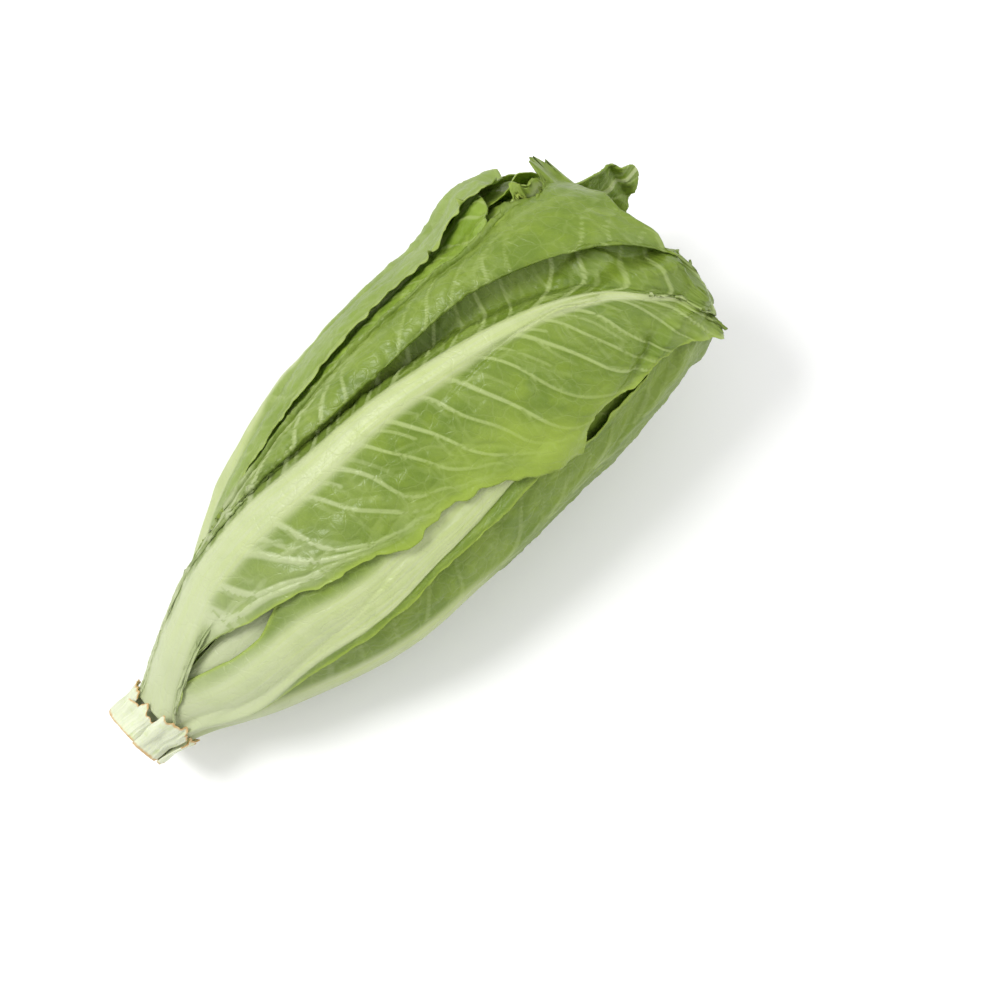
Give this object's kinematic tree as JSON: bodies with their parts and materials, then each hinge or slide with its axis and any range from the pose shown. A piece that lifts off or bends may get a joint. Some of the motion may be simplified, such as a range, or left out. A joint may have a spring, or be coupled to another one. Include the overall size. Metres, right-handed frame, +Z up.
{
  "type": "romaine lettuce head",
  "caption": "Head of romaine lettuce lying on its side as cut: long leaves wrapped round a heart, joined at a short cut stem.",
  "frame": {"origin": "centre of the bounding box at its base, where the head rests on the surface", "axes": "+X along the head from the cut stem to the leaf tips, +Z up, and the big front leaf faces up and a little towards -Y"},
  "size_m": [0.294, 0.1205, 0.1167],
  "materials": {
    "cut_stem": "pale fibrous stem with a browned cut face",
    "pale_stub": "whitish, half see-through leaf bases with browned torn ends",
    "heart_leaf": "yellow-green crinkled heart leaf",
    "inner_leaf": "light green leaf with a pale rib",
    "outer_leaf": "mid green satin leaf with a pale raised rib and fine veins"
  },
  "bodies": {
    "root": {"back_left_inner_leaf": "outer_leaf", "back_left_leaf": "outer_leaf", "back_right_inner_leaf": "outer_leaf", "back_right_leaf": "outer_leaf", "bottom_leaf": "outer_leaf", "crown_leaf": "outer_leaf", "curled_leaf": "outer_leaf", "front_leaf": "outer_leaf", "front_right_leaf": "outer_leaf", "heart_leaf_1": "heart_leaf", "heart_leaf_2": "heart_leaf", "heart_leaf_3": "heart_leaf", "heart_leaf_4": "heart_leaf", "heart_leaf_5": "heart_leaf", "heart_leaf_6": "heart_leaf", "inner_leaf_1": "inner_leaf", "inner_leaf_2": "inner_leaf", "inner_leaf_3": "inner_leaf", "inner_leaf_4": "inner_leaf", "inner_leaf_5": "inner_leaf", "inner_leaf_6": "inner_leaf", "inner_leaf_7": "inner_leaf", "inner_leaf_8": "inner_leaf", "leaf_stub_1": "pale_stub", "leaf_stub_2": "pale_stub", "leaf_stub_3": "pale_stub", "leaf_stub_4": "pale_stub", "leaf_stub_5": "pale_stub", "leaf_stub_6": "pale_stub", "left_inner_leaf": "outer_leaf", "left_leaf": "outer_leaf", "right_inner_leaf": "outer_leaf", "right_leaf": "outer_leaf", "stem_core": "cut_stem"}
  },
  "joints": []
}
